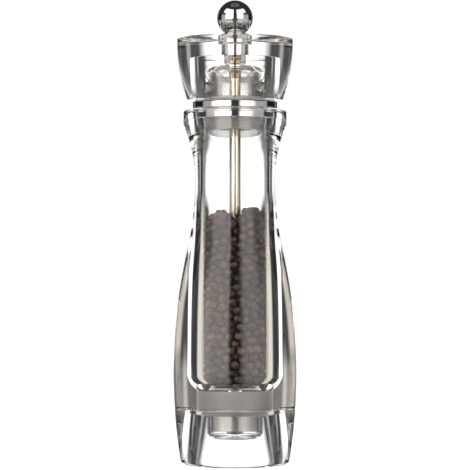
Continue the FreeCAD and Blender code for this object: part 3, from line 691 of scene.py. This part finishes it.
def shaft_rod(steel, brass):
    """Round rod, squared at both ends and threaded beyond the squares."""
    base, top = low("drive_shaft"), high("drive_shaft")
    stud_r, flat, pitch, thread_depth = 1.9, 1.9, 0.8, 0.22
    low_square, low_end, high_square, high_end = 19.0, 30.04, 194.0, 207.6

    def threads(start, end):
        return [(stud_r, z, 0) for z in np.arange(start, end, pitch / 8)]

    def shape(radius, height, angle):
        if low_square - 0.01 < height < low_end - 0.01 or high_square + 0.01 < height < high_end + 0.01:
            return min(radius, flat / max(abs(math.cos(angle)), abs(math.sin(angle))))
        if height < low_square or height > high_end:
            groove = 0.5 + 0.5 * math.cos(math.tau * height / pitch - angle)
            return radius * (1 - thread_depth * groove / stud_r)
        return radius

    def step(height, below, above):
        return [(below, height - 0.005, 0), (above, height + 0.005, 0)]

    outline = rounded(
        [(0, base, 0), (stud_r - 0.3, base, 0)] + threads(base + 0.3, low_square - 0.1)
        + step(low_square, stud_r, SHAFT_R) + step(low_end, SHAFT_R, SHAFT_R)
        + [(SHAFT_R, z, 0) for z in np.linspace(low_end + 4, high_square - 4, 30)]
        + step(high_square, SHAFT_R, SHAFT_R) + [(SHAFT_R, high_end, 0), (stud_r, high_end + 0.01, 0)]
        + threads(high_end + 0.1, top - 0.5) + [(stud_r - 0.5, top, 0), (0, top, 0)])
    finish_piece(lathe("shaft_rod", outline, shape), "drive_shaft", steel)
    base, top, outer = low("shaft_collar") + FIT, high("shaft_collar"), wide("shaft_collar")
    collar = rounded([(1.92, base), (outer, base, 0.3), (outer, top, 0.3), (1.92, top)])
    ring = lathe("collar_ring", collar, lambda radius, height, angle: radius if radius > 2.3 else (
        flat + 0.02) / max(abs(math.cos(angle)), abs(math.sin(angle))))
    finish_piece(ring, "shaft_collar", brass)


def grinder_shell(plastic):
    """The housing with its flange under the roof."""
    base, top, flange = low("grinder_housing"), high("grinder_housing"), wide("grinder_housing")
    inner, outer, shoulder = 10.9, SOCKET_R - 0.05, PARTING - 0.05
    outline = rounded([
        (inner, base), (flange, base, 0.2), (flange, shoulder, 0.2), (outer, shoulder), (outer, top), (inner, top)])
    finish_piece(lathe("grinder_shell", outline), "grinder_housing", plastic)


def dress_nodes(materials):
    """The pieces that keep their CAD shape, by material slot."""
    wanted = {
        "burr_steel": ["fixed_burr", "rotating_burr"],
        "grey_plastic": ["bridge"],
        "steel": ["spring", "thrust_washer", "burr_washer", "burr_nut", "drive_bush"],
        "nylon": ["friction_washer"],
        "brass": ["knob_bush"],
    }
    for slot_name, nodes in wanted.items():
        finish = materials["bright_steel" if slot_name == "steel" else slot_name]
        for node in nodes:
            thing = frame["nodes"][node]
            thing.data.materials.clear()
            thing.data.materials.append(finish)


# ---------------------------------------------------------------- peppercorns

CORN_R = (1.95, 2.45)
# share of the chamber that the corns fill
FILL_SHARE = 0.64
WALL_GAP = 0.12
# the corns are drawn a little smaller than they are packed
CORN_SHRINK = 0.93
VARIANTS = 8
MEAN_LEVEL = 126.0
PACK_ROUNDS = 320
SINKING_ROUNDS = 200
SINK_STEP = 0.02
PUSH_SHARE = 0.32
# height of the rounded floor's centre above CHAMBER_FLOOR
FUNNEL_RISE = 0.53


def pepper_level(x):
    """Height of the top of the pepper, uneven from left to right, in millimetres."""
    return np.interp(x, [-16, -10.5, -9.5, -6.0, -4.5, -2.5, 2.5, 4.5, 6.0, 16],
                     [123.2, 122.6, 126.6, 126.6, 125.6, 121.5, 121.5, 129.0, 130.0, 131.5])


def chamber_radius(z):
    """Radius of the chamber at a height: straight, then the rounded floor."""
    middle_r = CHAMBER_R - math.sqrt(FUNNEL_ARC ** 2 - FUNNEL_RISE ** 2)
    drop = np.clip(CHAMBER_FLOOR + FUNNEL_RISE - z, 0, FUNNEL_ARC * 0.98)
    return np.where(z > CHAMBER_FLOOR, CHAMBER_R, middle_r + np.sqrt(FUNNEL_ARC ** 2 - drop ** 2))


def pack_corns():
    """Loose corns settled against each other, the wall and the shaft, by pushing overlaps apart."""
    rng = np.random.default_rng(SEED)
    floor_z = high("grinder_housing") + 0.3
    volume = math.pi * (CHAMBER_R ** 2 - SHAFT_R ** 2) * (MEAN_LEVEL - floor_z - 1.5)
    mean_r = sum(CORN_R) / 2
    count = int(FILL_SHARE * volume / (4 / 3 * math.pi * mean_r ** 3))
    radius = rng.uniform(*CORN_R, count)
    angle = rng.uniform(0, math.tau, count)
    reach = np.sqrt(rng.uniform(SHAFT_R ** 2 + 9, (CHAMBER_R - 2.5) ** 2, count))
    place = np.column_stack([reach * np.cos(angle), reach * np.sin(angle),
                             rng.uniform(floor_z + 2, MEAN_LEVEL - 2, count)])
    want = radius[:, None] + radius[None, :]
    sunk = rng.uniform(0, 1.6, count)
    for round_number in range(PACK_ROUNDS):
        gap = place[:, None, :] - place[None, :, :]
        distance = np.sqrt((gap ** 2).sum(2))
        np.fill_diagonal(distance, 1e9)
        overlap = np.clip(want - distance, 0, None)
        push = (gap / distance[:, :, None] * overlap[:, :, None]).sum(1)
        place += push * PUSH_SHARE
        if round_number < SINKING_ROUNDS:
            place[:, 2] -= SINK_STEP
        reach = np.hypot(place[:, 0], place[:, 1])
        furthest = chamber_radius(place[:, 2]) - radius - WALL_GAP
        nearest = SHAFT_R + radius + WALL_GAP
        held = np.clip(reach, nearest, np.maximum(furthest, nearest))
        place[:, :2] *= (held / np.maximum(reach, 1e-6))[:, None]
        place[:, 2] = np.clip(place[:, 2], floor_z + radius, pepper_level(place[:, 0]) - radius - sunk)
    return place, radius, rng


def corn_shape(number, divisions):
    """One wrinkled corn of radius 1: a ball with a net of ridges, a little squashed."""
    editor = bmesh.new()
    bmesh.ops.create_icosphere(editor, subdivisions=divisions, radius=1.0)
    verts = []
    for vert in editor.verts:
        way = vert.co.normalized()
        spot = way * 1.9 + Vector((number * 7.3, 1.7, -number * 3.1))
        folds = abs(noise.noise(spot)) * 0.17 + abs(noise.noise(spot * 2.3)) * 0.09
        lumps = noise.noise(way * 0.9 + Vector((0, number * 5.0, 2.0))) * 0.07
        verts.append(way * (1.0 - folds + lumps))
    faces = [[v.index for v in face.verts] for face in editor.faces]
    editor.free()
    verts = np.array(verts)
    squash = 1 - 0.05 * (number % 3)
    verts[:, 2] *= squash
    verts /= np.sqrt((verts ** 2).sum(1)).max()
    return verts, np.array(faces)


def random_turns(rng, count):
    """Rotation matrices from random unit quaternions."""
    q = rng.normal(size=(count, 4))
    q /= np.sqrt((q ** 2).sum(1))[:, None]
    w, x, y, z = q.T
    return np.stack([
        np.stack([1 - 2 * (y * y + z * z), 2 * (x * y - w * z), 2 * (x * z + w * y)], 1),
        np.stack([2 * (x * y + w * z), 1 - 2 * (x * x + z * z), 2 * (y * z - w * x)], 1),
        np.stack([2 * (x * z - w * y), 2 * (y * z + w * x), 1 - 2 * (x * x + y * y)], 1)], 1)


def peppercorns(material):
    """All corns as one mesh.  Those at the wall and the top, which show, are finer."""
    place, radius, rng = pack_corns()
    turns = random_turns(rng, len(place))
    tones = np.clip(rng.normal(0.45, 0.28, len(place)), 0, 1)
    shows = (np.hypot(place[:, 0], place[:, 1]) > 10.5) | (place[:, 2] > pepper_level(place[:, 0]) - 8)
    fine = [corn_shape(number, 4) for number in range(VARIANTS)]
    plain = [corn_shape(number, 3) for number in range(VARIANTS)]
    verts, faces, tone = [], [], []
    start = 0
    for index in range(len(place)):
        shape, corners = (fine if shows[index] else plain)[index % VARIANTS]
        verts.append((shape @ turns[index].T * radius[index] * CORN_SHRINK + place[index]) * MM)
        faces.append(corners + start)
        tone.append(np.full(len(shape), tones[index]))
        start += len(shape)
    verts = np.concatenate(verts)
    faces = np.concatenate(faces)
    mesh = bpy.data.meshes.new("peppercorns")
    mesh.vertices.add(len(verts))
    mesh.vertices.foreach_set("co", verts.astype(np.float32).ravel())
    mesh.loops.add(faces.size)
    mesh.loops.foreach_set("vertex_index", faces.astype(np.int32).ravel())
    mesh.polygons.add(len(faces))
    mesh.polygons.foreach_set("loop_start", np.arange(0, faces.size, 3, dtype=np.int32))
    mesh.polygons.foreach_set("use_smooth", np.ones(len(faces), bool))
    mesh.update(calc_edges=True)
    layer = mesh.attributes.new("tone", "FLOAT", "POINT")
    layer.data.foreach_set("value", np.concatenate(tone).astype(np.float32))
    corns = bpy.data.objects.new("peppercorns", mesh)
    bpy.context.scene.collection.objects.link(corns)
    finish_piece(corns, "pepper_fill", material)


# ---------------------------------------------------------------- the scene

def set_light_paths():
    """Clear pieces sit inside clear pieces, so light passes many surfaces."""
    scene = bpy.context.scene
    scene.view_settings.view_transform = "Standard"
    scene.cycles.max_bounces = 32
    scene.cycles.transmission_bounces = 32
    scene.cycles.glossy_bounces = 12


place_camera()
set_light_paths()
light_studio()
build_stage()
finishes = {
    "acrylic": acrylic_material(),
    "clear_insert": clear_insert_material(),
    "grey_sleeve": grey_sleeve_material(),
    "chrome": chrome_material(),
    "steel": steel_material(),
    "bright_steel": bright_steel_material(),
    "burr_steel": burr_steel_material(),
    "brass": brass_material(),
    "grey_plastic": grey_plastic_material(),
    "nylon": nylon_material(),
    "peppercorn": peppercorn_material(),
}
body_shell(finishes["acrylic"], finishes["grey_plastic"])
foot_ring(finishes["acrylic"])
head_shell(finishes["acrylic"])
head_tube(finishes["clear_insert"])
outlet_ring(finishes["clear_insert"])
neck_pieces(finishes["chrome"], finishes["grey_sleeve"], finishes["nylon"])
ball_knob(finishes["chrome"])
shaft_rod(finishes["steel"], finishes["brass"])
grinder_shell(finishes["grey_plastic"])
dress_nodes(finishes)
peppercorns(finishes["peppercorn"])
